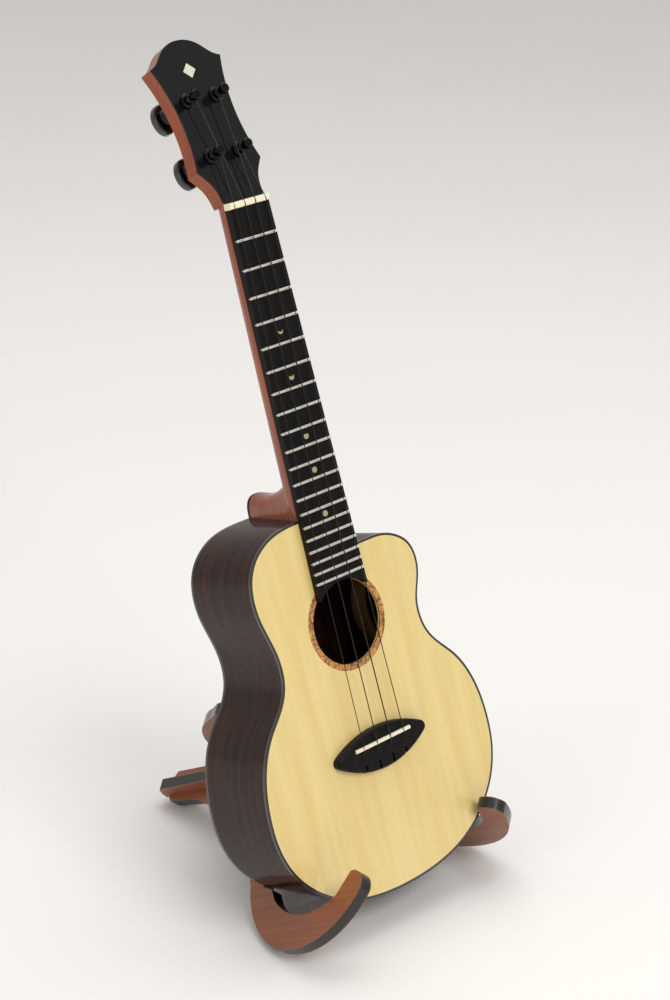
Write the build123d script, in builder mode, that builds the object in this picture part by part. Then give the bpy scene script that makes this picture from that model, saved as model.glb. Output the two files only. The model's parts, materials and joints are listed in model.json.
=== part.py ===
from build123d import *
from math import atan, cos, degrees, radians, sin, sqrt
import os

# Four-string cutaway ukulele resting in a two-piece slotted wooden stand.
# World frame: +Z up, floor at Z = 0, -Y is the front. The stand is made symmetric about X = 0.
# The instrument is made in its own frame (X across the neck, +Y towards the head, +Z out of
# the soundboard, origin at the nut on the face of the fingerboard) and is then set in the stand.

# ---- driving dimensions (mm) ----
scale_length = 430.0
fret_count = 20

body_half_upper = 84.0       # half width of the upper bout
body_half_waist = 74.0
body_half_lower = 119.0      # half width of the lower bout
body_fret = 14               # the fret that the body starts behind
body_set_back = 4.5
upper_bout_drop = 48.0       # distances down the body from its top
waist_drop = 104.0
lower_bout_drop = 216.0
tail_drop = 309.0
cutaway_drop = 33.0          # height of the cut-down treble shoulder
hole_drop = 89.0
body_depth = 76.0            # outside, soundboard face to back face
cutaway_x = 26.0             # inner end of the cutaway beside the heel
heel_half = 24.0             # half width of the flat that the heel is glued to

top_thickness = 2.4
back_thickness = 2.6
side_thickness = 2.2
binding_width = 2.0
lining_width = 6.0
lining_height = 12.0
brace_width = 6.0
brace_height = 8.0

hole_radius = 34.0
rosette_width = 5.0
rosette_depth = 1.2

board_thickness = 6.0
nut_width = 39.0
board_end_width = 49.0
board_end_gap = 24.0         # fingerboard's end corners, above the middle of the soundhole
neck_depth_nut = 14.5        # wood under the fingerboard
neck_depth_heel = 17.0
heel_length = 47.0
heel_foot_length = 17.0
heel_neck_half = 22.5
heel_foot_half = 12.0        # the heel narrows towards the back
heel_cap_thickness = 3.0

fret_crown_width = 2.3
fret_crown_height = 1.0
fret_tang_width = 0.6
fret_tang_depth = 2.0
fret_slot_gap = 0.05

marker_frets = (5, 7, 10, 12, 15)
marker_radius = 2.4
marker_depth = 0.8
side_dot_radius = 1.0
side_dot_depth = 1.5

nut_thickness = 5.0
nut_height = 8.0
string_spread_nut = 31.0     # outer string to outer string
string_spread_saddle = 43.0
string_radii = (0.32, 0.42, 0.5, 0.38)
string_gap = 0.02
string_end_gap = 0.3          # free end of a string short of its winding on the post
string_post_radius = 2.6      # post radius where the string winds

head_angle = 15.0
head_length = 131.0
head_thickness = 13.0
veneer_thickness = 1.5
head_corner_v = 113.0        # distance from the nut to the crown corners
head_corner_half = 34.0
head_waist_v = 62.0
head_waist_half = 26.0
head_cheek_v = 28.0
head_cheek_half = 31.0
head_neck_v = 13.0
head_neck_half = 21.5

inlay_v = 106.0
inlay_radius = 6.0

tuner_rows = (37.5, 83.0)
tuner_half_spacing = 14.0
post_radius = 3.0
post_height = 15.0
sleeve_radius = 4.4
tuner_running_gap = 0.05
housing_radius = 7.5
housing_height = 15.0
bushing_radius = 6.0
bushing_height = 3.2
button_long = 12.5           # half length of the oval button
button_short = 9.0
button_thickness = 8.0
button_stem_radius = 2.5
button_stem_length = 3.0
screw_head_radius = 2.4
screw_head_height = 1.0
winding_turns = 3

bridge_half_width = 51.0
bridge_ahead = 11.0          # bridge in front of the saddle's crest, and behind it
bridge_behind = 23.0
bridge_tip_behind = 4.0
bridge_height = 7.5
saddle_length = 58.0
saddle_thickness = 2.8
saddle_depth = 4.0           # how deep the saddle sits in the bridge
string_height_saddle = 9.8   # above the soundboard
tie_slot_width = 1.8
tie_slot_depth = 9.0
knot_radius = 1.3
knot_gap = 0.1
saddle_fit = 0.02

lean_behind_ridge = 10.85    # the instrument stands this much steeper than square to the ridge
lean_side = -3.1             # it sits slightly askew, as set down by hand
turn = -5.3
rest_forward = 23.0          # middle of the lower bout's back, ahead of the foot of the back rest
rest_up = -4.6               # and above the ridge
rest_right = 4.4

# each plate's outline: forward along the ridge, and across it, up towards the arm
plate_thickness = 10.4
tail_tip = -117.0
tail_upper = 19.0
tail_foot_forward = -111.0   # the rear foot, at the end of the tail
tail_foot_across = -9.5
leg_start = (-74.0, -13.0)
leg_hollow = (-15.0, -43.0)
arm_root = (-48.0, 17.5)
arm_hollow = (-7.0, 34.0)
arm_shoulder = (20.5, 73.0)
arm_crown = (36.0, 91.0)
arm_top = (56.5, 100.3)
back_rest_foot = 54.1        # the back rest runs from here up to the arm
back_rest_head = (81.0, 97.0)
front_foot_forward = 66.1    # the front foot, under the hook
front_foot_drop = 31.5       # below the bottom of the lower bout
foot_flat_depth = 1.2        # planed off the lowest edges, so that the feet stand flat
bowl_depth = 18.6            # of the hook's bowl, below the bottom of the lower bout
hook_drop = 47.0             # of the hook's outer edge
hook_reach = 28.7            # of the hook's tip, ahead of the soundboard
slot_clearance = 0.05

block_depth = 30.0
bolt_radius = 3.0
bolt_clearance = 0.1
bolt_reach = 11.0            # of the bolt into the heel

top_z = -board_thickness
back_z = top_z - body_depth
body_top_y = -scale_length * (1 - 2 ** (-body_fret / 12)) - body_set_back
upper_bout_y = body_top_y - upper_bout_drop
waist_y = body_top_y - waist_drop
lower_bout_y = body_top_y - lower_bout_drop
body_tail_y = body_top_y - tail_drop
cutaway_y = body_top_y - cutaway_drop
hole_y = body_top_y - hole_drop
board_end_y = hole_y + board_end_gap
heel_start_y = body_top_y + heel_length
bridge_upper_y = -scale_length + bridge_ahead
bridge_lower_y = -scale_length - bridge_behind
bridge_tip_y = -scale_length - bridge_tip_behind


# ---- the instrument's outline, seen from the front ----
def body_outline(inset=0.0):
    """The body's edge as one face, or a line that runs inside it by an inset."""
    treble_bout = (body_half_upper - inset, cutaway_y - 32)
    treble_waist = (body_half_waist - inset, waist_y)
    bass_bout = (-body_half_upper + inset, upper_bout_y)
    bass_waist = (-body_half_waist + inset, waist_y)
    with BuildSketch() as outline:
        with BuildLine():
            Line((-heel_half, body_top_y - inset), (heel_half - inset, body_top_y - inset))
            Line((heel_half - inset, body_top_y - inset), (cutaway_x - inset, cutaway_y - inset))
            Line((cutaway_x - inset, cutaway_y - inset), (44, cutaway_y - inset))
            Spline(
                (44, cutaway_y - inset),
                (70 - 0.62 * inset, cutaway_y - 7 - 0.78 * inset),
                treble_bout,
                tangents=[(1, 0), (0, -1)],
            )
            Spline(treble_bout, treble_waist, tangents=[(0, -1), (0, -1)])
            for side in (1, -1):
                widest = (side * (body_half_lower - inset), lower_bout_y)
                Spline(
                    (side * (body_half_waist - inset), waist_y),
                    (
                        side * (0.48 * body_half_waist + 0.52 * body_half_lower - 0.82 * inset),
                        waist_y - 43 - 0.57 * inset,
                    ),
                    widest,
                    tangents=[(0, -1), (0, -1)],
                )
                Spline(
                    widest,
                    (
                        side * (0.8 * body_half_lower - 0.72 * inset),
                        0.35 * lower_bout_y + 0.65 * body_tail_y + 0.7 * inset,
                    ),
                    (0, body_tail_y + inset),
                    tangents=[(0, -1), (-side, 0)],
                )
            Spline(bass_bout, bass_waist, tangents=[(0, -1), (0, -1)])
            Spline(
                (-heel_half, body_top_y - inset),
                (-64 + 0.62 * inset, body_top_y - 9 - 0.78 * inset),
                bass_bout,
                tangents=[(-1, 0), (0, -1)],
            )
        make_face()
    return outline.sketch


def ring(outer_inset, inner_inset, bottom, height):
    """A closed strip that follows the body outline between two insets."""
    with BuildPart() as strip:
        with BuildSketch(Plane.XY.offset(bottom)):
            add(body_outline(outer_inset))
            add(body_outline(inner_inset), mode=Mode.SUBTRACT)
        extrude(amount=height)
    return strip


# ---- soundbox ----
with BuildPart() as soundboard:
    with BuildSketch(Plane.XY.offset(top_z - top_thickness)):
        add(body_outline(binding_width))
        with Locations((0, hole_y)):
            Circle(hole_radius, mode=Mode.SUBTRACT)
    extrude(amount=top_thickness)
    with BuildSketch(Plane.XY.offset(top_z - rosette_depth)):
        with Locations((0, hole_y)):
            Circle(hole_radius + rosette_width)
    extrude(amount=rosette_depth, mode=Mode.SUBTRACT)

with BuildPart() as rosette:
    with BuildSketch(Plane.XY.offset(top_z - rosette_depth)):
        with Locations((0, hole_y)):
            Circle(hole_radius + rosette_width)
            Circle(hole_radius, mode=Mode.SUBTRACT)
    extrude(amount=rosette_depth)

top_binding = ring(0, binding_width, top_z - top_thickness, top_thickness)
back_binding = ring(0, binding_width, back_z, back_thickness)
side_bottom = back_z + back_thickness
side_height = body_depth - top_thickness - back_thickness
sides = ring(0, side_thickness, side_bottom, side_height)
top_lining = ring(
    side_thickness, side_thickness + lining_width, top_z - top_thickness - lining_height, lining_height
)
back_lining = ring(side_thickness, side_thickness + lining_width, side_bottom, lining_height)

with BuildPart() as back_plate:
    with BuildSketch(Plane.XY.offset(back_z)):
        add(body_outline(binding_width))
    extrude(amount=back_thickness)

block_bottom = side_bottom + lining_height
block_height = side_height - 2 * lining_height


def end_block(center_y, half_width):
    """A solid block between the linings, cut to the inside of the ribs."""
    with BuildPart() as block:
        with BuildSketch(Plane.XY.offset(block_bottom)):
            add(body_outline(side_thickness))
            with Locations((0, center_y)):
                Rectangle(2 * half_width, 2 * block_depth, mode=Mode.INTERSECT)
        extrude(amount=block_height)
    return block


neck_block = end_block(body_top_y, 30)
tail_block = end_block(body_tail_y, 26)

bolt_z = top_z - 0.55 * body_depth
bolt_tip_y = body_top_y + bolt_reach
bolt_head_y = body_top_y - block_depth
bolt_line = Plane(origin=(0, bolt_tip_y, bolt_z), z_dir=(0, -1, 0))
bolt_length = bolt_tip_y - bolt_head_y
with BuildPart() as neck_bolt:
    with BuildSketch(bolt_line):
        Circle(bolt_radius)
    extrude(amount=bolt_length)
    with BuildSketch(bolt_line.offset(bolt_length)):
        Circle(bolt_radius * 3)
    extrude(amount=1.5)
    with BuildSketch(bolt_line.offset(bolt_length + 1.5)):
        Circle(bolt_radius * 1.7)
        RegularPolygon(bolt_radius * 0.9, 6, mode=Mode.SUBTRACT)
    extrude(amount=4)


with BuildPart() as bolt_bore:
    with BuildSketch(bolt_line):
        Circle(bolt_radius + bolt_clearance)
    extrude(amount=bolt_length)

with neck_block:
    add(bolt_bore.part, mode=Mode.SUBTRACT)
with sides:
    add(bolt_bore.part, mode=Mode.SUBTRACT)

top_brace_z = top_z - top_thickness - brace_height
back_brace_z = back_z + back_thickness
with BuildPart() as top_braces:
    with BuildSketch(Plane.XY.offset(top_brace_z)):
        add(body_outline(side_thickness + lining_width + 1))
        with BuildSketch(Plane.XY, mode=Mode.INTERSECT):
            with Locations((0, hole_y + hole_radius + 12), (0, hole_y - hole_radius - 12)):
                Rectangle(300, brace_width)
            for x, lean in ((-45, -14), (0, 0), (45, 14)):
                with Locations((x, lower_bout_y - 8)):
                    Rectangle(brace_width, 70, rotation=lean)
    extrude(amount=brace_height)
with BuildPart() as back_braces:
    with BuildSketch(Plane.XY.offset(back_brace_z)):
        add(body_outline(side_thickness + lining_width + 1))
        with BuildSketch(Plane.XY, mode=Mode.INTERSECT):
            with Locations((0, -300), (0, -390), (0, -480)):
                Rectangle(300, brace_width)
    extrude(amount=brace_height)

with BuildPart() as bridge_plate:
    with BuildSketch(Plane.XY.offset(top_z - top_thickness - 2)):
        with Locations((0, bridge_tip_y)):
            Rectangle(2 * bridge_half_width + 16, 26)
        for brace_x in (-45, 0, 45):
            with Locations((brace_x, lower_bout_y - 8)):
                Rectangle(brace_width + 24, 70, mode=Mode.SUBTRACT)
    extrude(amount=2)


# ---- neck, heel and head ----
def board_half(y):
    """Half width of the tapering fingerboard at a distance along it."""
    last_fret_y = -(scale_length - scale_length / 2 ** (fret_count / 12))
    return nut_width / 2 + (board_end_width - nut_width) / 2 * y / last_fret_y


def neck_section(y, depth):
    """Rounded underside of the neck at one place, flat where the fingerboard is glued."""
    half = board_half(y)
    with BuildSketch(Plane.XZ.offset(-y)) as section:
        with BuildLine():
            Line((-half, top_z), (half, top_z))
            Spline(
                (half, top_z),
                (0, top_z - depth),
                (-half, top_z),
                tangents=[(0, -1), (0, 1)],
            )
        make_face()
    return section.sketch


def heel_half_at(part):
    """The heel's half width, a part of the way from the neck to the back."""
    return heel_neck_half + (heel_foot_half - heel_neck_half) * part


def heel_section(z, half, tip_y):
    """A bullet-shaped slice through the heel, flat against the body."""
    with BuildSketch(Plane.XY.offset(z)) as section:
        with BuildLine():
            Line((-half, body_top_y), (half, body_top_y))
            Spline(
                (half, body_top_y),
                (0, tip_y),
                (-half, body_top_y),
                tangents=[(0, 1), (0, -1)],
            )
        make_face()
    return section.sketch


head_plane = Plane(
    origin=(0, nut_thickness, top_z),
    x_dir=(1, 0, 0),
    z_dir=(0, sin(radians(head_angle)), cos(radians(head_angle))),
)


def head_outline(plane):
    """Fan-shaped head: hollow sides, cheeks above the nut and a domed crown."""
    with BuildSketch(plane) as outline:
        with BuildLine():
            Line((0, 0), (nut_width / 2, 0))
            Spline(
                (nut_width / 2, 0),
                (head_neck_half, head_neck_v),
                (head_cheek_half, head_cheek_v),
                tangents=[(0.1, 1), (0.75, 1)],
            )
            ThreePointArc(
                (head_cheek_half, head_cheek_v),
                (head_waist_half, head_waist_v),
                (head_corner_half, head_corner_v),
            )
            Spline(
                (head_corner_half, head_corner_v),
                (head_corner_half * 0.55, head_corner_v + 0.62 * (head_length - head_corner_v)),
                (0, head_length),
                tangents=[(-1, 0.25), (-1, 0)],
            )
            mirror(about=Plane.YZ)
        make_face()
    return outline.sketch


# in string order: outer strings on the near pair of posts, inner strings on the far pair
post_places = [
    (-tuner_half_spacing, tuner_rows[0]),
    (-tuner_half_spacing, tuner_rows[1]),
    (tuner_half_spacing, tuner_rows[1]),
    (tuner_half_spacing, tuner_rows[0]),
]
heel_bottom = back_z + heel_cap_thickness

with BuildPart() as neck:
    loft([neck_section(nut_thickness, neck_depth_nut), neck_section(heel_start_y, neck_depth_heel)])
    loft([neck_section(heel_start_y, neck_depth_heel), neck_section(body_top_y, neck_depth_heel)])
    loft(
        [
            heel_section(top_z - 4, heel_neck_half, heel_start_y - 2),
            heel_section(top_z - 0.28 * body_depth, heel_half_at(0.28), heel_start_y - 18),
            heel_section(top_z - 0.55 * body_depth, heel_half_at(0.55), body_top_y + heel_foot_length + 2),
            heel_section(heel_bottom, heel_foot_half, body_top_y + heel_foot_length),
        ]
    )
    add(extrude(head_outline(head_plane), amount=-head_thickness, mode=Mode.PRIVATE))
    with Locations(head_plane):
        with Locations(*post_places):
            Hole(sleeve_radius + tuner_running_gap, depth=head_thickness)
    with Locations(bolt_line):
        Cylinder(
            bolt_radius + bolt_clearance, 16, align=(Align.CENTER, Align.CENTER, Align.MIN), mode=Mode.SUBTRACT
        )

with BuildPart() as heel_cap:
    add(
        extrude(
            heel_section(back_z, heel_foot_half, body_top_y + heel_foot_length),
            amount=heel_cap_thickness,
            mode=Mode.PRIVATE,
        )
    )

with BuildPart() as head_veneer:
    add(extrude(head_outline(head_plane), amount=veneer_thickness, mode=Mode.PRIVATE))
    with Locations(head_plane.offset(veneer_thickness)):
        with Locations(*post_places):
            Hole(sleeve_radius + tuner_running_gap, depth=veneer_thickness)
    with BuildSketch(head_plane.offset(veneer_thickness - 0.6)):
        with Locations((0, inlay_v)):
            RegularPolygon(inlay_radius, 4)
    extrude(amount=0.6, mode=Mode.SUBTRACT)

with BuildPart() as head_inlay:
    with BuildSketch(head_plane.offset(veneer_thickness - 0.6)):
        with Locations((0, inlay_v)):
            RegularPolygon(inlay_radius, 4)
    extrude(amount=0.6)


# ---- fingerboard ----
def fret_y(number):
    """Where a fret lies, by equal temperament."""
    return -(scale_length - scale_length / 2 ** (number / 12))


fret_places = [fret_y(number) for number in range(1, fret_count + 1)]
marker_places = [(fret_y(number) + fret_y(number - 1)) / 2 for number in marker_frets]


def marker_shape(index):
    """A pale dot that fills like the moon from one marker to the next."""
    Circle(marker_radius)
    bite = marker_radius * (0.75 + 0.4 * index)
    if index < len(marker_frets) - 1:
        with Locations((0, bite)):
            Circle(marker_radius, mode=Mode.SUBTRACT)


def marker_faces():
    """All the marker dots, each at its fret."""
    with BuildSketch(Plane.XY.offset(-marker_depth)) as dots:
        for index, y in enumerate(marker_places):
            with BuildSketch(mode=Mode.PRIVATE) as dot:
                marker_shape(index)
            add(Pos(0, y, 0) * dot.sketch)
    return dots.sketch


markers = marker_faces()

with BuildPart() as side_dots:
    for y in marker_places:
        with Locations(Plane(origin=(-board_half(y) + 0.1, y, -board_thickness / 2), z_dir=(1, 0, 0))):
            Cylinder(side_dot_radius, side_dot_depth, align=(Align.CENTER, Align.CENTER, Align.MIN))

with BuildPart() as fingerboard:
    with BuildSketch(Plane.XY.offset(-board_thickness)):
        with BuildLine():
            Line((-board_half(board_end_y), board_end_y), (-board_half(0), 0))
            Line((-board_half(0), 0), (board_half(0), 0))
            Line((board_half(0), 0), (board_half(board_end_y), board_end_y))
            ThreePointArc(
                (board_half(board_end_y), board_end_y),
                (0, hole_y + hole_radius),
                (-board_half(board_end_y), board_end_y),
            )
        make_face()
    extrude(amount=board_thickness)
    with Locations(*[(0, y, 0) for y in fret_places]):
        Box(
            board_end_width + 4,
            fret_tang_width + 2 * fret_slot_gap,
            fret_tang_depth + fret_slot_gap,
            align=(Align.CENTER, Align.CENTER, Align.MAX),
            mode=Mode.SUBTRACT,
        )
    add(extrude(markers, amount=marker_depth, mode=Mode.PRIVATE), mode=Mode.SUBTRACT)
    add(side_dots.part, mode=Mode.SUBTRACT)

with BuildPart() as position_markers:
    add(extrude(markers, amount=marker_depth, mode=Mode.PRIVATE))

with BuildPart() as frets:
    for y in fret_places:
        half = board_half(y)
        with BuildSketch(Plane.YZ.offset(-half)):
            with BuildLine():
                Line((y - fret_crown_width / 2, 0), (y - fret_tang_width / 2, 0))
                Line((y - fret_tang_width / 2, 0), (y - fret_tang_width / 2, -fret_tang_depth))
                Line((y - fret_tang_width / 2, -fret_tang_depth), (y + fret_tang_width / 2, -fret_tang_depth))
                Line((y + fret_tang_width / 2, -fret_tang_depth), (y + fret_tang_width / 2, 0))
                Line((y + fret_tang_width / 2, 0), (y + fret_crown_width / 2, 0))
                ThreePointArc(
                    (y + fret_crown_width / 2, 0),
                    (y, fret_crown_height),
                    (y - fret_crown_width / 2, 0),
                )
            make_face()
        extrude(amount=2 * half)


# ---- strings and what they bear on ----
string_count = len(string_radii)
nut_top = top_z + nut_height
bridge_top = top_z + bridge_height
saddle_top = top_z + string_height_saddle
nut_crest_y = nut_thickness / 2
saddle_crest_y = -scale_length
knot_y = bridge_lower_y + 3.5
knot_z = top_z + 3.0
winding_height = veneer_thickness + bushing_height + 4.0


def head_point(x, v, height):
    """A point given on the sloping head: across, up the head and out of its face."""
    return head_plane.from_local_coords(Vector(x, v, height))


def string_place(index, spread):
    """Distance of one string from the centre line."""
    return (index / (string_count - 1) - 0.5) * spread



def string_route(index):
    """Straight runs from post to nut, nut to saddle and down into the bridge, joined by arcs."""
    radius = string_radii[index]
    post_x, post_v = post_places[index]
    toward_centre = -1 if post_x > 0 else 1
    wrap = string_post_radius + radius
    clear = wrap + 2 * radius + string_end_gap
    run_out = sqrt(clear ** 2 - wrap ** 2)
    start = head_point(post_x + toward_centre * wrap, post_v - run_out, winding_height)
    nut_x = string_place(index, string_spread_nut)
    saddle_x = string_place(index, string_spread_saddle)
    with BuildLine() as route:
        FilletPolyline(
            start,
            (nut_x, nut_crest_y, nut_top),
            (saddle_x, saddle_crest_y, saddle_top),
            (saddle_x, saddle_crest_y - 11, bridge_top - 1.5),
            (saddle_x, knot_y + knot_radius + 0.1, knot_z),
            radius=3,
        )
    return route.line


def along_route(index, radius):
    """A round rod of a given radius along a string's route."""
    route = string_route(index)
    start_plane = Plane(origin=route @ 0, z_dir=route % 0)
    with BuildPart() as rod:
        with BuildSketch(start_plane):
            Circle(radius)
        sweep(path=route)
    return rod


strings = [along_route(index, radius) for index, radius in enumerate(string_radii)]
string_grooves = [
    along_route(index, radius + string_gap).part for index, radius in enumerate(string_radii)
]

with BuildPart() as string_knots:
    for index in range(string_count):
        with Locations((string_place(index, string_spread_saddle), knot_y, knot_z)):
            Sphere(knot_radius)

with BuildPart() as nut:
    with Locations((0, nut_crest_y, top_z)):
        Box(nut_width, nut_thickness, nut_height, align=(Align.CENTER, Align.CENTER, Align.MIN))
    fillet(nut.edges().filter_by(Axis.X).group_by(Axis.Z)[-1], 1.2)
    for groove in string_grooves:
        add(groove, mode=Mode.SUBTRACT)

with BuildPart() as saddle:
    with Locations((0, saddle_crest_y, bridge_top - saddle_depth)):
        Box(
            saddle_length,
            saddle_thickness,
            saddle_top - bridge_top + saddle_depth,
            align=(Align.CENTER, Align.CENTER, Align.MIN),
        )
    fillet(saddle.edges().filter_by(Axis.X).group_by(Axis.Z)[-1], 0.9)
    for groove in string_grooves:
        add(groove, mode=Mode.SUBTRACT)

with BuildPart() as bridge:
    with BuildSketch(Plane.XY.offset(top_z)):
        with BuildLine():
            ThreePointArc(
                (-bridge_half_width, bridge_tip_y),
                (0, bridge_upper_y),
                (bridge_half_width, bridge_tip_y),
            )
            ThreePointArc(
                (bridge_half_width, bridge_tip_y),
                (0, bridge_lower_y),
                (-bridge_half_width, bridge_tip_y),
            )
        make_face()
    extrude(amount=bridge_height)
    fillet(bridge.edges().filter_by(Axis.Z), 5)
    fillet(bridge.faces().sort_by(Axis.Z)[-1].edges(), 2.5)
    with Locations((0, saddle_crest_y, bridge_top)):
        Box(
            saddle_length + 2 * saddle_fit,
            saddle_thickness + 2 * saddle_fit,
            saddle_depth,
            align=(Align.CENTER, Align.CENTER, Align.MAX),
            mode=Mode.SUBTRACT,
        )
    for index in range(string_count):
        x = string_place(index, string_spread_saddle)
        with Locations((x, bridge_lower_y - 2, knot_z - 1.0)):
            Box(
                tie_slot_width,
                tie_slot_depth + 2,
                bridge_height,
                align=(Align.CENTER, Align.MIN, Align.MIN),
                mode=Mode.SUBTRACT,
            )
        with Locations((x, knot_y, knot_z - knot_radius - knot_gap)):
            Cylinder(
                knot_radius + knot_gap,
                bridge_height,
                align=(Align.CENTER, Align.CENTER, Align.MIN),
                mode=Mode.SUBTRACT,
            )
    for groove in string_grooves:
        add(groove, mode=Mode.SUBTRACT)


# ---- tuners: a fixed barrel behind the head, a geared post in front, a button on the back ----
button_height = -head_thickness - housing_height - button_stem_length

def turned(points, places):
    """Solids of revolution standing on the head, from (radius, height) profiles."""
    with BuildPart() as turning:
        for x, v in places:
            axis_plane = Plane(
                origin=head_point(x, v, 0), x_dir=(1, 0, 0), z_dir=-head_plane.y_dir
            )
            with BuildSketch(axis_plane):
                with BuildLine():
                    Polyline(*points, close=True)
                make_face()
            revolve(axis=Axis(axis_plane.origin, head_plane.z_dir))
    return turning


bore = post_radius + tuner_running_gap
stem_bore = button_stem_radius + tuner_running_gap
back_face = -head_thickness
housing_end = back_face - housing_height
tuner_housings = turned(
    [
        (bore, back_face - 4.5),
        (bore, veneer_thickness),
        (sleeve_radius, veneer_thickness),
        (sleeve_radius, back_face),
        (housing_radius, back_face),
        (housing_radius, housing_end + 2),
        (housing_radius - 2, housing_end),
        (stem_bore, housing_end),
        (stem_bore, back_face - 4.5),
    ],
    post_places,
)
tuner_bushings = turned(
    [
        (bore, veneer_thickness),
        (bushing_radius, veneer_thickness),
        (bushing_radius, veneer_thickness + 1.8),
        (bushing_radius - 1.4, veneer_thickness + bushing_height),
        (bore, veneer_thickness + bushing_height),
    ],
    post_places,
)


def post_profile():
    """Post with a waist for the string and a wider head."""
    waist = veneer_thickness + bushing_height + 0.6
    return [
        (0, back_face - 4.0),
        (post_radius, back_face - 4.0),
        (post_radius, waist),
        (string_post_radius, waist + 0.8),
        (string_post_radius, waist + 5.6),
        (post_radius + 0.9, waist + 6.8),
        (post_radius + 0.9, veneer_thickness + post_height - 0.8),
        (post_radius, veneer_thickness + post_height),
        (0, veneer_thickness + post_height),
    ]


tuner_posts = [turned(post_profile(), [place]) for place in post_places]


def winding(index):
    """The turns of string round a post, side by side."""
    radius = string_radii[index]
    x, v = post_places[index]
    with BuildPart() as coil:
        for count in range(winding_turns):
            height = winding_height + (count - winding_turns + 1) * 2 * radius
            turn_plane = Plane(
                origin=head_point(x, v, height), x_dir=(1, 0, 0), z_dir=head_plane.z_dir
            )
            with Locations(turn_plane):
                Torus(string_post_radius + radius + string_gap, radius * 0.98)
    return coil


string_windings = [winding(index) for index in range(string_count)]


def tuner_button(place):
    """Oval button with a short stem that turns in the barrel."""
    x, v = place
    stem_top = back_face - 4.6
    with BuildPart() as button:
        with BuildSketch(head_plane.offset(button_height - button_thickness)):
            with Locations((x, v)):
                Ellipse(button_long, button_short, rotation=90)
        extrude(amount=button_thickness)
        fillet(button.edges(), 2.2)
        with BuildSketch(head_plane.offset(stem_top)):
            with Locations((x, v)):
                Circle(button_stem_radius)
        extrude(amount=button_height - 1 - stem_top)
        with BuildSketch(head_plane.offset(button_height - button_thickness)):
            with Locations((x, v)):
                Circle(screw_head_radius)
        extrude(amount=screw_head_height, mode=Mode.SUBTRACT)
    return button


tuner_buttons = [tuner_button(place) for place in post_places]


def button_screw(place):
    """Small cross-slotted screw sunk in the end of a button."""
    x, v = place
    with BuildPart() as screw:
        with BuildSketch(head_plane.offset(button_height - button_thickness)):
            with Locations((x, v)):
                Circle(screw_head_radius)
        extrude(amount=screw_head_height)
        with BuildSketch(head_plane.offset(button_height - button_thickness)):
            with Locations((x, v)):
                Rectangle(screw_head_radius * 1.3, 0.5)
                Rectangle(0.5, screw_head_radius * 1.3)
        extrude(amount=0.5, mode=Mode.SUBTRACT)
    return screw


button_screws = [button_screw(place) for place in post_places]


# ---- stand: two mirrored plates, square to each other, halved along a sloping joint line ----
# The ridge slopes so that the front feet and the tails all reach the floor.
bout_bottom = -body_half_lower
front_foot_across = bout_bottom - front_foot_drop
ridge = atan(
    sqrt(0.5) * (tail_foot_across - front_foot_across) / (front_foot_forward - tail_foot_forward)
)
ridge_height = (
    sqrt(0.5) * cos(ridge) * (plate_thickness / 2 - front_foot_across)
    - sin(ridge) * front_foot_forward
    - foot_flat_depth
)
joint_forward = Vector(0, -cos(ridge), sin(ridge))
joint_up = Vector(0, sin(ridge), cos(ridge))
joint_origin = Vector(0, 0, ridge_height)
joint_middle = (tail_tip + back_rest_foot) / 2
soundboard_forward = back_rest_foot + body_depth


def stand_plate(side, slot_start, slot_end):
    """One plate: tail and leg behind, arm for the instrument's back, hook for its lower bout."""
    plate_up = (joint_up - Vector(side, 0, 0)) * sqrt(0.5)
    plate_normal = joint_forward.cross(plate_up)
    plane = Plane(origin=joint_origin, x_dir=joint_forward, z_dir=plate_normal)
    front = soundboard_forward
    ledge_back = (back_rest_foot, bout_bottom + 10.5)
    ledge_front = (front - 64.0, bout_bottom + 7.0)
    bowl_back = (front - 57.5, bout_bottom - 2.4)
    bowl_front = (front + 17.5, bout_bottom - 6.5)
    tip_inside = (front + hook_reach, bout_bottom + 12.5)
    tip_foot = (front + 24.0, bout_bottom + 4.5)
    tip_end = (front + hook_reach + 15.5, bout_bottom - 3.0)
    hook_front = (front + 24.7, bout_bottom - hook_drop + 17.3)
    hook_back = (front - 57.3, bout_bottom - hook_drop + 10.5)
    leg_end = (front - 93.3, bout_bottom + 13.3)
    with BuildPart() as plate:
        with BuildSketch(plane.offset(-plate_thickness / 2)):
            with BuildLine():
                ThreePointArc(
                    (tail_foot_forward, tail_upper), (tail_tip, 6), (tail_foot_forward, tail_foot_across)
                )
                Line((tail_foot_forward, tail_foot_across), leg_start)
                ThreePointArc(leg_start, leg_hollow, leg_end)
                ThreePointArc(leg_end, (front - 81.3, bout_bottom - 12.5), hook_back)
                ThreePointArc(hook_back, (front - 18.3, bout_bottom - hook_drop), hook_front)
                ThreePointArc(hook_front, (front + 36.7, bout_bottom - 16.5), tip_end)
                ThreePointArc(tip_end, (front + 40.5, bout_bottom + 9), tip_inside)
                Line(tip_inside, tip_foot)
                Line(tip_foot, bowl_front)
                ThreePointArc(bowl_front, (front - 19.3, bout_bottom - bowl_depth), bowl_back)
                Line(bowl_back, ledge_front)
                Line(ledge_front, ledge_back)
                Line(ledge_back, back_rest_head)
                ThreePointArc(back_rest_head, (76, 104), (66, 104))
                Line((66, 104), arm_top)
                ThreePointArc(arm_top, arm_crown, arm_shoulder)
                ThreePointArc(arm_shoulder, arm_hollow, arm_root)
                Line(arm_root, (tail_foot_forward, tail_upper))
            make_face()
            with Locations(((slot_start + slot_end) / 2, 0)):
                Rectangle(
                    slot_end - slot_start, plate_thickness + 2 * slot_clearance, mode=Mode.SUBTRACT
                )
        extrude(amount=plate_thickness)
        split(bisect_by=Plane.XY, keep=Keep.TOP)
    return plate


stand_plate_right = stand_plate(1, tail_tip - 5, joint_middle)
stand_plate_left = stand_plate(-1, joint_middle, back_rest_head[0] + 20)

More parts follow.
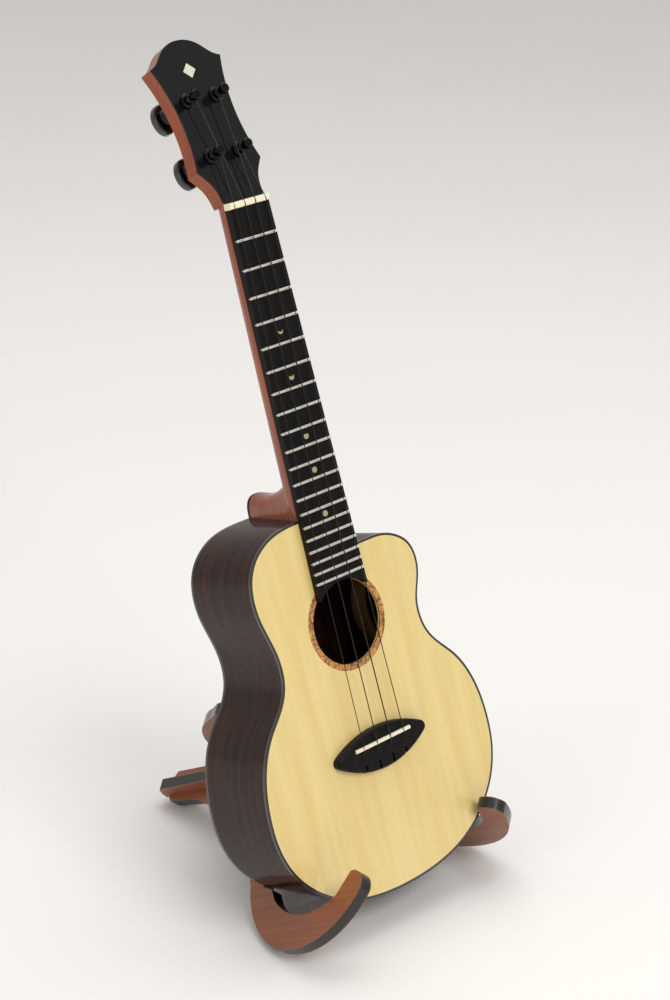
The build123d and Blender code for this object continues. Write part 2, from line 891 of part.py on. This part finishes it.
# ---- set the instrument in the stand and write every piece ----
rest_point = (
    joint_origin
    + joint_forward * (back_rest_foot + rest_forward)
    + joint_up * rest_up
    + Vector(rest_right, 0, 0)
)
lean_back = degrees(ridge) - lean_behind_ridge
seat = (
    Pos(rest_point)
    * Rot(0, 0, turn)
    * Rot(0, lean_side, 0)
    * Rot(90 - lean_back, 0, 0)
    * Pos(0, -lower_bout_y, -back_z)
)

instrument_pieces = {
    "soundboard": soundboard,
    "rosette": rosette,
    "top_binding": top_binding,
    "sides": sides,
    "back_plate": back_plate,
    "back_binding": back_binding,
    "top_lining": top_lining,
    "back_lining": back_lining,
    "neck_block": neck_block,
    "tail_block": tail_block,
    "top_braces": top_braces,
    "back_braces": back_braces,
    "bridge_plate": bridge_plate,
    "neck": neck,
    "neck_bolt": neck_bolt,
    "heel_cap": heel_cap,
    "head_veneer": head_veneer,
    "head_inlay": head_inlay,
    "fingerboard": fingerboard,
    "frets": frets,
    "position_markers": position_markers,
    "side_dots": side_dots,
    "nut": nut,
    "saddle": saddle,
    "bridge": bridge,
    "string_knots": string_knots,
    "tuner_housings": tuner_housings,
    "tuner_bushings": tuner_bushings,
}
for number in range(string_count):
    instrument_pieces[f"string_{number + 1}"] = strings[number]
    instrument_pieces[f"string_winding_{number + 1}"] = string_windings[number]
    instrument_pieces[f"tuner_post_{number + 1}"] = tuner_posts[number]
    instrument_pieces[f"tuner_button_{number + 1}"] = tuner_buttons[number]
    instrument_pieces[f"button_screw_{number + 1}"] = button_screws[number]

pieces = {label: seat * piece.part for label, piece in instrument_pieces.items()}
pieces["stand_plate_right"] = stand_plate_right.part
pieces["stand_plate_left"] = stand_plate_left.part

# origin on the floor, in the middle of the overall footprint
extent = Compound(children=[Part() + piece for piece in pieces.values()]).bounding_box()
footprint = Pos(-extent.center().X, -extent.center().Y, 0)

os.makedirs("parts", exist_ok=True)
for label, piece in pieces.items():
    piece = footprint * piece
    piece.label = label
    export_step(piece, f"parts/{label}.step")
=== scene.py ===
import json
import math

import bpy
from mathutils import Matrix, Vector


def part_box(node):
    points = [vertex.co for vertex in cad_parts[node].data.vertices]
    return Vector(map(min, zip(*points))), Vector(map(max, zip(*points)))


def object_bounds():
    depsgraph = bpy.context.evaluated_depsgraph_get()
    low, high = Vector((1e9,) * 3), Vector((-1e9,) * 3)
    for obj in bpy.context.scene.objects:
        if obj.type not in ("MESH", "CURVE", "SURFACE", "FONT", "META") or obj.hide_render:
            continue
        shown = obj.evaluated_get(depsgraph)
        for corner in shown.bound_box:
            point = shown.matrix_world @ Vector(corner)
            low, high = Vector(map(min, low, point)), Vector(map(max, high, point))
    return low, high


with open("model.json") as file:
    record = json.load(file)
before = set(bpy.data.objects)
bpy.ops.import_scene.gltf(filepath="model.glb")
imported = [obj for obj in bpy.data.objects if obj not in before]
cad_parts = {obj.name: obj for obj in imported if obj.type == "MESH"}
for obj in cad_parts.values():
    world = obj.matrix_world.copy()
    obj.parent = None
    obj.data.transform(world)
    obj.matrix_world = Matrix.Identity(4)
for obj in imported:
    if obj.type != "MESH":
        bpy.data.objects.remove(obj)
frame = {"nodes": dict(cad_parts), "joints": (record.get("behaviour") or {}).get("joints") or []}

cad_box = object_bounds()
nodes = frame["nodes"]


def linear(hex_colour):
    """An sRGB hex colour as linear RGBA."""
    channels = [int(hex_colour[i:i + 2], 16) / 255 for i in (1, 3, 5)]
    return tuple(c / 12.92 if c <= 0.04045 else ((c + 0.055) / 1.055) ** 2.4 for c in channels) + (1.0,)


def add(tree, kind, settings=None, **inputs):
    """Adds a shader node. Settings are its properties; inputs are values or sockets to link from."""
    node = tree.nodes.new(kind)
    for name, value in (settings or {}).items():
        setattr(node, name, value)
    for name, value in inputs.items():
        key = int(name[1:]) if name[0] == "i" and name[1:].isdigit() else name.replace("_", " ")
        socket = node.inputs[key]
        if isinstance(value, bpy.types.NodeSocket):
            tree.links.new(value, socket)
        else:
            socket.default_value = value
    return node


def finish_material(name, **principled):
    """A new material with a Principled shader, returned with its tree and shader."""
    material = bpy.data.materials.new(name)
    material.use_nodes = True
    tree = material.node_tree
    shader = tree.nodes["Principled BSDF"]
    for key, value in principled.items():
        shader.inputs[key.replace("_", " ")].default_value = value
    return material, tree, shader


def paint(material, *names):
    """Gives CAD nodes their material."""
    for name in names:
        mesh = nodes[name].data
        mesh.materials.clear()
        mesh.materials.append(material)


# The instrument's own axes: Y along the neck, Z out of the soundboard, X across to the treble side.
# They come from the way it lifts out of the stand and from the tilt of the tuners.
joints = {joint["name"]: joint for joint in frame["joints"]}
neck_axis = Vector(joints["lift_off"]["axis"]).normalized()
across_axis = neck_axis.cross(Vector(joints["button_turn_1"]["axis"])).normalized()
front_axis = across_axis.cross(neck_axis).normalized()
instrument_turn = Matrix((across_axis, neck_axis, front_axis))
nut_low, nut_high = (Vector(corner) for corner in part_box("nut"))
nut_middle = (nut_low + nut_high) / 2


def stretched(tree, place, factors):
    """A place with each of its coordinates multiplied."""
    return add(tree, "ShaderNodeVectorMath", {"operation": "MULTIPLY"}, i0=place, i1=factors).outputs[0]


def times(tree, value, factor):
    """A value multiplied."""
    return add(tree, "ShaderNodeMath", {"operation": "MULTIPLY"}, i0=value, i1=factor).outputs[0]


def instrument_mm(tree, stretch=(1, 1, 1)):
    """Coordinates in millimetres along the instrument's axes, from the middle of the nut."""
    place = add(tree, "ShaderNodeTexCoord").outputs["Object"]
    turn = instrument_turn.to_euler("XYZ")
    moved = add(tree, "ShaderNodeVectorMath", {"operation": "SUBTRACT"}, i0=place, i1=tuple(nut_middle))
    turned = add(
        tree, "ShaderNodeVectorRotate", {"rotation_type": "EULER_XYZ"},
        Vector=moved.outputs[0], Rotation=tuple(turn),
    )
    return stretched(tree, turned.outputs[0], tuple(1000 * s for s in stretch))


def band(tree, value, low, high):
    """0 below low, 1 above high, smooth between."""
    return add(
        tree, "ShaderNodeMapRange", {"interpolation_type": "SMOOTHSTEP"},
        Value=value, From_Min=low, From_Max=high,
    ).outputs["Result"]


def blend_colours(tree, factor, first, second):
    """Mixes two colours, each a hex string or a socket."""
    mix = add(tree, "ShaderNodeMix", {"data_type": "RGBA"})
    for index, value in ((6, first), (7, second)):
        if isinstance(value, str):
            mix.inputs[index].default_value = linear(value)
        else:
            tree.links.new(value, mix.inputs[index])
    if isinstance(factor, bpy.types.NodeSocket):
        tree.links.new(factor, mix.inputs[0])
    else:
        mix.inputs[0].default_value = factor
    return mix.outputs[2]


def tint(tree, shader, colour):
    """Links a colour to the shader."""
    tree.links.new(colour, shader.inputs["Base Color"])


def noise(tree, place, scale, detail=4, roughness=0.55, distortion=0.0):
    """Fractal noise at a place."""
    return add(
        tree, "ShaderNodeTexNoise",
        Vector=place, Scale=scale, Detail=detail, Roughness=roughness, Distortion=distortion,
    ).outputs["Fac"]


def bump(tree, shader, height, distance, strength=1.0):
    """Raises the surface by a height in metres where the texture is white."""
    node = add(tree, "ShaderNodeBump", Height=height, Distance=distance, Strength=strength)
    tree.links.new(node.outputs["Normal"], shader.inputs["Normal"])


# ---- soundboard ----
# A bookmatched plate of close-grained spruce under clear gloss lacquer. Its annual rings run
# along the strings, finest beside the centre seam, with faint silk lying across them.
spruce, tree, shader = finish_material(
    "gloss_lacquered_spruce", Roughness=0.38, Coat_Weight=1.0, Coat_Roughness=0.035, Coat_IOR=1.5,
)
place = instrument_mm(tree)
split = add(tree, "ShaderNodeSeparateXYZ", Vector=place)
mirrored = add(tree, "ShaderNodeMath", {"operation": "ABSOLUTE"}, i0=split.outputs["X"])
book = add(tree, "ShaderNodeCombineXYZ", X=mirrored.outputs[0], Y=split.outputs["Y"], Z=split.outputs["Z"])
wander = stretched(tree, book.outputs[0], (0.02, 0.003, 0.02))
drift = noise(tree, wander, 1.0, 2)
rings_at = add(
    tree, "ShaderNodeMath", {"operation": "MULTIPLY_ADD"}, i0=drift, i1=14.0, i2=mirrored.outputs[0],
)
ring_phase = times(tree, rings_at.outputs[0], 0.85)
ring = add(tree, "ShaderNodeMath", {"operation": "FRACT"}, i0=ring_phase)
late_wood = band(tree, ring.outputs[0], 0.55, 0.98)
tone_place = stretched(tree, book.outputs[0], (0.09, 0.006, 0.09))
tone = noise(tree, tone_place, 1.0, 3)
silk_place = stretched(tree, book.outputs[0], (0.12, 1.1, 0.12))
silk = noise(tree, silk_place, 1.0, 3)
base = blend_colours(tree, band(tree, tone, 0.3, 0.7), "#E8D08C", "#E0C47A")
ringed = blend_colours(
    tree, times(tree, late_wood, 0.24), base, "#CDA764",
)
silky = blend_colours(
    tree, times(tree, band(tree, silk, 0.52, 0.75), 0.14), ringed, "#E6CC82",
)
tree.links.new(silky, shader.inputs["Base Color"])
paint(spruce, "soundboard")

# ---- rosette ----
# A ring of spalted amber burl let into the soundboard round the soundhole, edged with a dark line.
burl, tree, shader = finish_material(
    "spalted_amber_burl", Roughness=0.35, Coat_Weight=1.0, Coat_Roughness=0.04,
)
place = instrument_mm(tree)
flecks = noise(tree, place, 0.28, 5, 0.65, 1.2)
veins = add(
    tree, "ShaderNodeTexVoronoi", {"feature": "DISTANCE_TO_EDGE"}, Vector=place, Scale=0.11,
).outputs["Distance"]
amber = blend_colours(tree, band(tree, flecks, 0.35, 0.65), "#8A4E1C", "#D79A45")
tint(tree, shader, blend_colours(tree, band(tree, veins, 0.0, 0.05), "#2A160A", amber))
paint(burl, "rosette")

# ---- bindings ----
# Thin strips of blackened wood that close the edges of the soundboard and the back.
black_edge, tree, shader = finish_material(
    "blackened_binding", Roughness=0.4, Coat_Weight=1.0, Coat_Roughness=0.05,
)
grain = noise(tree, instrument_mm(tree, (0.6, 0.6, 3.0)), 1.0, 4)
tint(tree, shader, blend_colours(tree, band(tree, grain, 0.3, 0.8), "#0B0808", "#1E1412"))
paint(black_edge, "top_binding", "back_binding")

# ---- ribs and back ----
# Dark rosewood, bent for the ribs and bookmatched for the back, filled and polished to a mirror gloss.
# Black-brown streaks follow the grain: round the body on the ribs, along it on the back.
for name, stretch, parts in (
    ("polished_rosewood_ribs", (0.012, 0.012, 0.22), ("sides",)),
    ("polished_rosewood_back", (0.2, 0.01, 0.2), ("back_plate", "heel_cap")),
):
    rosewood, tree, shader = finish_material(
        name, Roughness=0.5, Specular_IOR_Level=0.1, Coat_Weight=0.42, Coat_Roughness=0.02, Coat_IOR=1.5,
    )
    place = instrument_mm(tree, stretch)
    figure = noise(tree, place, 1.0, 6, 0.6, 0.8)
    fine_place = stretched(tree, place, (6.0, 6.0, 6.0))
    pores = noise(tree, fine_place, 1.0, 4, 0.7)
    brown = blend_colours(tree, band(tree, figure, 0.35, 0.75), "#180A06", "#3A190D")
    tree.links.new(
        blend_colours(tree, band(tree, pores, 0.55, 0.8), brown, "#060303"), shader.inputs["Base Color"],
    )
    paint(rosewood, *parts)

# ---- inside of the soundbox ----
# Linings, blocks and braces of bare pale cedar and spruce, seen only through the soundhole.
inner_wood, tree, shader = finish_material("bare_inner_wood", Roughness=0.75)
grain = noise(tree, instrument_mm(tree, (0.5, 0.03, 0.5)), 1.0, 4)
tint(tree, shader, blend_colours(tree, band(tree, grain, 0.3, 0.7), "#B98F5B", "#9A7142"))
paint(
    inner_wood,
    "top_lining", "back_lining", "neck_block", "tail_block", "top_braces", "back_braces", "bridge_plate",
)

# ---- neck ----
# One piece of red-brown mahogany, carved round, with ribbon figure and fine pores under gloss lacquer.
mahogany, tree, shader = finish_material(
    "gloss_mahogany", Roughness=0.4, Specular_IOR_Level=0.2, Coat_Weight=0.6, Coat_Roughness=0.05,
)
place = instrument_mm(tree, (0.35, 0.012, 0.35))
figure = noise(tree, place, 1.0, 5, 0.6, 0.6)
pore_place = instrument_mm(tree, (3.0, 0.18, 3.0))
pores = noise(tree, pore_place, 1.0, 3, 0.7)
red = blend_colours(tree, band(tree, figure, 0.3, 0.7), "#7E3208", "#9A4511")
tint(tree, shader, blend_colours(tree, band(tree, pores, 0.6, 0.75), red, "#5C260C"))
paint(mahogany, "neck")

# ---- head facing and its inlay ----
# A black lacquered ebony veneer, with one small pearl diamond.
head_black, tree, shader = finish_material(
    "black_gloss_head_veneer", Roughness=0.4, Specular_IOR_Level=0.1, Coat_Weight=0.45, Coat_Roughness=0.04,
)
grain = noise(tree, instrument_mm(tree, (0.8, 0.03, 0.8)), 1.0, 4)
tint(tree, shader, blend_colours(tree, band(tree, grain, 0.4, 0.8), "#050506", "#0E0D0F"))
paint(head_black, "head_veneer")

pearl, tree, shader = finish_material(
    "mother_of_pearl", Roughness=0.2, Coat_Weight=0.6, Coat_Roughness=0.05,
)
sheen = noise(tree, instrument_mm(tree), 0.5, 3, 0.6, 1.5)
tint(tree, shader, blend_colours(tree, band(tree, sheen, 0.3, 0.7), "#D9DEC8", "#BFC9B0"))
paint(pearl, "head_inlay")

# ---- position markers ----
# Small dots of aged, olive-gold pearl in the face and the edge of the fingerboard.
gold_pearl, tree, shader = finish_material("aged_gold_pearl", Roughness=0.3)
sheen = noise(tree, instrument_mm(tree), 0.8, 3, 0.6, 1.5)
tint(tree, shader, blend_colours(tree, band(tree, sheen, 0.3, 0.7), "#B5AC80", "#958C62"))
paint(gold_pearl, "position_markers", "side_dots")

# ---- fingerboard and bridge ----
# Ebony, oiled rather than lacquered: dark charcoal with faint brown streaks and open pores.
ebony, tree, shader = finish_material("oiled_ebony", Roughness=0.42, Specular_IOR_Level=0.15)
figure = noise(tree, instrument_mm(tree, (0.3, 0.012, 0.3)), 1.0, 5)
pores = noise(tree, instrument_mm(tree, (3.5, 0.25, 3.5)), 1.0, 3, 0.7)
tint(tree, shader, blend_colours(tree, band(tree, figure, 0.4, 0.75), "#0A0809", "#151110"))
bump(tree, shader, pores, 0.00006, 0.4)
paint(ebony, "fingerboard", "bridge")

# ---- frets ----
# Polished nickel silver wire.
fret_wire, tree, shader = finish_material("nickel_silver", Metallic=1.0, Roughness=0.28)
wear = noise(tree, instrument_mm(tree), 0.6, 4)
tint(tree, shader, blend_colours(tree, wear, "#EFEDE6", "#D9D6CC"))
paint(fret_wire, "frets")

# ---- nut and saddle ----
# Polished bone, with the faint brown flecks of its grain.
bone, tree, shader = finish_material(
    "polished_bone", Roughness=0.3, Subsurface_Weight=0.15, Subsurface_Scale=0.002,
)
flecks = noise(tree, instrument_mm(tree), 1.6, 4)
tint(tree, shader, blend_colours(tree, band(tree, flecks, 0.5, 0.8), "#EFE6C8", "#D8C79A"))
paint(bone, "nut", "saddle")

# ---- strings ----
# Smooth near-black fluorocarbon line, wound round the posts and knotted at the bridge.
string_numbers = (1, 2, 3, 4)
line, tree, shader = finish_material("fluorocarbon_string", Roughness=0.22, IOR=1.42)
tone = noise(tree, instrument_mm(tree), 0.4, 2)
tint(tree, shader, blend_colours(tree, tone, "#0E0B09", "#1C1612"))
paint(line, "string_knots", *(f"string_{i}" for i in string_numbers))
paint(line, *(f"string_winding_{i}" for i in string_numbers))

# ---- tuners ----
# Black chromed barrels, bushings and posts with moulded black buttons.
black_chrome, tree, shader = finish_material("black_chrome", Metallic=0.9, Roughness=0.16)
smear = noise(tree, instrument_mm(tree), 0.9, 4)
tint(tree, shader, blend_colours(tree, smear, "#1A1A1C", "#26262A"))
paint(black_chrome, "tuner_housings", "tuner_bushings", *(f"tuner_post_{i}" for i in string_numbers))

button_black, tree, shader = finish_material("black_moulded_button", Roughness=0.18, Coat_Weight=0.5)
cloud = noise(tree, instrument_mm(tree), 0.7, 3)
tint(tree, shader, blend_colours(tree, cloud, "#0C0C0D", "#171719"))
paint(button_black, *(f"tuner_button_{i}" for i in string_numbers))

steel, tree, shader = finish_material("satin_steel_screw", Metallic=1.0, Roughness=0.35)
turned = noise(tree, instrument_mm(tree), 3.0, 3)
tint(tree, shader, blend_colours(tree, turned, "#8F8F8C", "#A9A9A5"))
paint(steel, "neck_bolt", *(f"button_screw_{i}" for i in string_numbers))


# ---- stand ----
# Two plates sawn from a red-brown board: satin lacquered faces and edges painted black.
def plate_axes(node):
    """The direction a flat plate faces, and how far along it the plate's middle lies."""
    mesh = node.data
    largest = max(mesh.polygons, key=lambda face: face.area)
    facing = largest.normal.copy()
    reach = [facing.dot(vertex.co) for vertex in mesh.vertices]
    return facing, (min(reach) + max(reach)) / 2, max(reach) - min(reach)


ridge_slope = math.radians(29)
for name in ("stand_plate_right", "stand_plate_left"):
    facing, middle, thickness = plate_axes(nodes[name])
    grain_axis = Vector((0, -math.cos(ridge_slope), math.sin(ridge_slope)))
    cross_axis = facing.cross(grain_axis)
    board, tree, shader = finish_material(
        f"satin_board_{name.rsplit('_', 1)[1]}", Roughness=0.33, Coat_Weight=0.35, Coat_Roughness=0.18,
    )
    place = add(tree, "ShaderNodeTexCoord").outputs["Object"]
    along, across, depth = (
        add(
            tree, "ShaderNodeVectorMath", {"operation": "DOT_PRODUCT"}, i0=place, i1=tuple(axis),
        ).outputs["Value"]
        for axis in (grain_axis, cross_axis, facing)
    )
    offset = add(tree, "ShaderNodeMath", {"operation": "SUBTRACT"}, i0=depth, i1=middle)
    from_middle = add(tree, "ShaderNodeMath", {"operation": "ABSOLUTE"}, i0=offset.outputs[0]).outputs[0]
    near_face = band(tree, from_middle, thickness / 2 - 0.0009, thickness / 2 - 0.0004)
    grain_place = add(tree, "ShaderNodeCombineXYZ", X=along, Y=across, Z=depth)
    long_grain = stretched(tree, grain_place.outputs[0], (9, 260, 260))
    figure = noise(tree, long_grain, 1.0, 5, 0.6, 0.5)
    fine_grain = stretched(tree, grain_place.outputs[0], (120, 2600, 2600))
    pores = noise(tree, fine_grain, 1.0, 3, 0.7)
    brown = blend_colours(tree, band(tree, figure, 0.3, 0.72), "#7A3A12", "#8C4A1E")
    pored = blend_colours(tree, band(tree, pores, 0.58, 0.75), brown, "#63300F")
    tint(tree, shader, blend_colours(tree, near_face, "#060505", pored))
    paint(board, name)

# ---- floor, light and camera ----
low, high = (Vector(corner) for corner in cad_box)
size = high - low
bpy.ops.mesh.primitive_plane_add(size=1)
floor = bpy.context.object
floor.name = "studio_floor"
floor.scale = (14, 14, 1)
floor.location = (0, 0, low.z)
bpy.ops.object.transform_apply(location=True, scale=True)
cloth, tree, shader = finish_material("pale_paper_sweep", Roughness=0.9)
shade = noise(tree, add(tree, "ShaderNodeTexCoord").outputs["Object"], 1.2, 3)
tint(tree, shader, blend_colours(tree, shade, "#F6F4F1", "#EFEDEA"))
floor.data.materials.append(cloth)


def softbox(name, place, target, width, height, watts, colour="#FFFFFF"):
    """A rectangular studio light aimed at a point."""
    light = bpy.data.lights.new(name, "AREA")
    light.shape = "RECTANGLE"
    light.size = width
    light.size_y = height
    light.energy = watts
    light.color = linear(colour)[:3]
    lamp = bpy.data.objects.new(name, light)
    lamp.location = place
    lamp.rotation_euler = (Vector(target) - Vector(place)).to_track_quat("-Z", "Y").to_euler()
    bpy.context.scene.collection.objects.link(lamp)
    return lamp


aim = (0, 0, size.z * 0.5)
softbox("key_window", (-0.4, -2.2, 2.2), aim, 1.6, 1.2, 34)
softbox("top_fill", (0.6, 0.4, 2.8), aim, 2.2, 2.2, 26)
softbox("left_strip", (-2.4, 0.2, 1.0), aim, 0.8, 1.6, 8)

# A plain view transform keeps the pale floor and the dark woods as contrasted as they are.
bpy.context.scene.view_settings.view_transform = "Standard"
world = bpy.data.worlds.new("studio")
bpy.context.scene.world = world
world.use_nodes = True
world.node_tree.nodes["Background"].inputs["Color"].default_value = linear("#E9E8E6")
world.node_tree.nodes["Background"].inputs["Strength"].default_value = 0.72

camera_data = bpy.data.cameras.new("camera")
camera = bpy.data.objects.new("camera", camera_data)
bpy.context.scene.collection.objects.link(camera)
camera_data.lens = 83.32
camera_data.sensor_width = 36
camera.location = (-1.24481, -1.13403, 1.00796)
heading = math.radians(-48.546)
pitch = math.radians(22.066)
roll = math.radians(1.226)
camera.rotation_euler = (
    Matrix.Rotation(heading, 3, "Z")
    @ Matrix.Rotation(math.pi / 2 - pitch, 3, "X")
    @ Matrix.Rotation(roll, 3, "Z")
).to_euler()
bpy.context.scene.camera = camera
